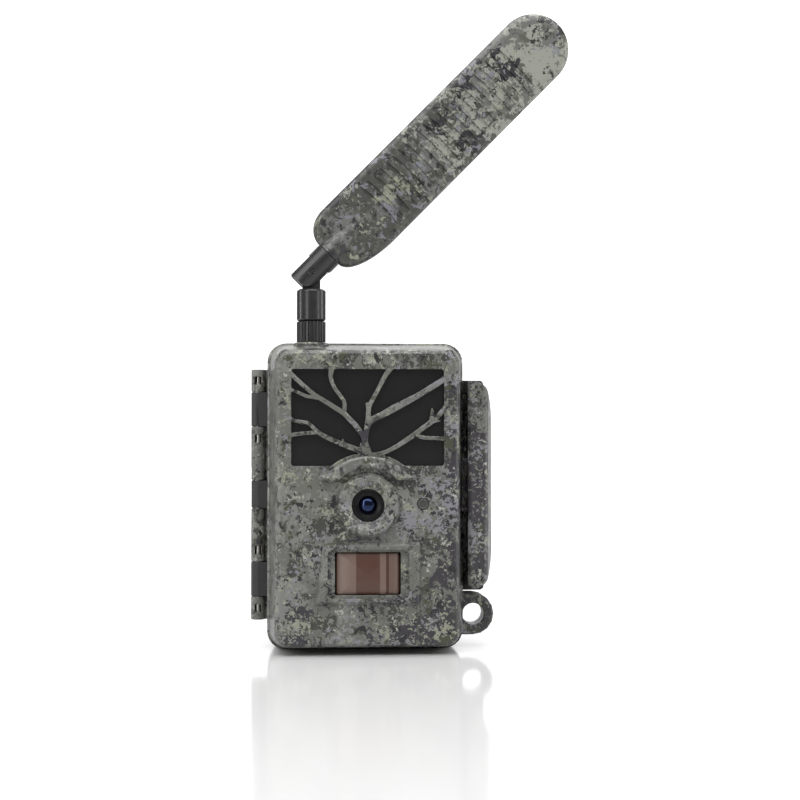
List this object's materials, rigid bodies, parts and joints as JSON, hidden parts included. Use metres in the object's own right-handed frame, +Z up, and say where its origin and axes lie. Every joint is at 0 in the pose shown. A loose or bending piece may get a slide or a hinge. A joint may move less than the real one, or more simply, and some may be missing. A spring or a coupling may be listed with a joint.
{
  "type": "trail camera",
  "caption": "Camouflaged trail camera: hinged two-part case with a branch-shaped grille, side latch, padlock eye and a tilting paddle antenna.",
  "frame": {"origin": "on the flat bottom face of the case, under the middle of its width, on the plane Y = 0 of the rear half", "axes": "+Z up, the lens looks along -Y, +X to the right as seen from the front"},
  "size_m": [0.1441, 0.0761, 0.2884],
  "materials": {
    "camouflage_abs": "satin camouflage film over moulded ABS",
    "black_nylon": "fine-grained black glass-filled nylon",
    "steel": "turned stainless steel",
    "black_rubber": "matt silicone rubber",
    "brass": "turned brass",
    "circuit_board": "solder-masked glass-epoxy board",
    "battery_jacket": "shrunk plastic jacket over a steel can",
    "infrared_window": "polished infrared-pass acrylic",
    "gloss_black": "gloss black moulding",
    "lens_glass": "coated glass",
    "sensor_lens": "translucent brown polyethylene",
    "status_lens": "smoked acrylic",
    "display_glass": "display cover glass",
    "card_plastic": "moulded card plastic"
  },
  "bodies": {
    "rear_half": {"rear_shell": "camouflage_abs", "case_gasket": "black_rubber", "battery_tray": "black_nylon", "aa_cell_1": "battery_jacket", "aa_cell_2": "battery_jacket", "aa_cell_3": "battery_jacket", "aa_cell_4": "battery_jacket", "aa_cell_5": "battery_jacket", "aa_cell_6": "battery_jacket", "aa_cell_7": "battery_jacket", "aa_cell_8": "battery_jacket", "hinge_pin": "steel", "tripod_insert": "brass", "tree_bracket": "black_nylon", "bracket_screw_1": "steel", "bracket_screw_2": "steel", "bracket_screw_3": "steel", "bracket_screw_4": "steel", "dc_jack": "black_nylon", "latch_pin": "steel"},
    "front_half": {"front_shell": "camouflage_abs", "branch_grille": "camouflage_abs", "led_window": "infrared_window", "led_board": "circuit_board", "lens_bezel": "gloss_black", "lens_barrel": "black_nylon", "lens_glass": "lens_glass", "camera_module": "black_nylon", "pir_lens": "sensor_lens", "pir_sensor": "steel", "status_light": "status_lens", "chassis": "black_nylon", "display": "display_glass", "main_board": "circuit_board", "antenna_jack": "brass", "antenna_pigtail": "black_rubber", "chassis_screw_1": "steel", "chassis_screw_2": "steel", "chassis_screw_3": "steel", "chassis_screw_4": "steel"},
    "latch_lever": {"latch_lever": "camouflage_abs"},
    "dc_plug": {"dc_plug": "black_rubber"},
    "power_switch": {"power_switch": "black_nylon"},
    "sd_card": {"sd_card": "card_plastic"},
    "antenna_nut": {"antenna_nut": "black_nylon"},
    "antenna_sleeve": {"antenna_sleeve": "black_nylon"},
    "antenna_paddle": {"antenna_elbow": "black_nylon", "antenna_pivot_pin": "steel", "antenna_blade_front": "camouflage_abs", "antenna_blade_rear": "camouflage_abs", "antenna_board": "circuit_board"},
    "key_ok": {"key_ok": "black_rubber"},
    "key_up": {"key_up": "black_rubber"},
    "key_down": {"key_down": "black_rubber"},
    "key_left": {"key_left": "black_rubber"},
    "key_right": {"key_right": "black_rubber"}
  },
  "joints": [
    {"name": "case_hinge", "type": "hinge", "parent": "rear_half", "child": "front_half", "pos_m": [-0.0484, -0.005, 0.0695], "axis": [0, 0, -1], "range_deg": [0, 120]},
    {"name": "latch_swing", "type": "hinge", "parent": "rear_half", "child": "latch_lever", "pos_m": [0.052, 0.003, 0.0744], "axis": [0, 0, 1], "range_deg": [0, 100]},
    {"name": "dc_plug_pull", "type": "slide", "parent": "rear_half", "child": "dc_plug", "axis": [0, 0, -1], "range_m": [0, 0.009]},
    {"name": "power_switch_slide", "type": "slide", "parent": "front_half", "child": "power_switch", "axis": [1, 0, 0], "range_m": [0, 0.005]},
    {"name": "sd_card_slide", "type": "slide", "parent": "front_half", "child": "sd_card", "axis": [0, 0, -1], "range_m": [0, 0.01]},
    {"name": "antenna_nut_spin", "type": "hinge", "parent": "front_half", "child": "antenna_nut", "pos_m": [-0.0246, -0.0135, 0.143], "axis": [0, 0, 1], "continuous": true},
    {"name": "antenna_swivel", "type": "hinge", "parent": "front_half", "child": "antenna_sleeve", "pos_m": [-0.0246, -0.0135, 0.155], "axis": [0, 0, 1], "continuous": true},
    {"name": "antenna_tilt", "type": "hinge", "parent": "antenna_sleeve", "child": "antenna_paddle", "pos_m": [-0.0246, -0.0135, 0.1699], "axis": [0, 1, 0], "range_deg": [-44, 45]},
    {"name": "key_ok_press", "type": "slide", "parent": "front_half", "child": "key_ok", "axis": [0, -1, 0], "range_m": [0, 0.0008], "stiffness_N_per_m": 600, "springref_m": -0.0004},
    {"name": "key_up_press", "type": "slide", "parent": "front_half", "child": "key_up", "axis": [0, -1, 0], "range_m": [0, 0.0008], "stiffness_N_per_m": 600, "springref_m": -0.0004},
    {"name": "key_down_press", "type": "slide", "parent": "front_half", "child": "key_down", "axis": [0, -1, 0], "range_m": [0, 0.0008], "stiffness_N_per_m": 600, "springref_m": -0.0004},
    {"name": "key_left_press", "type": "slide", "parent": "front_half", "child": "key_left", "axis": [0, -1, 0], "range_m": [0, 0.0008], "stiffness_N_per_m": 600, "springref_m": -0.0004},
    {"name": "key_right_press", "type": "slide", "parent": "front_half", "child": "key_right", "axis": [0, -1, 0], "range_m": [0, 0.0008], "stiffness_N_per_m": 600, "springref_m": -0.0004}
  ]
}
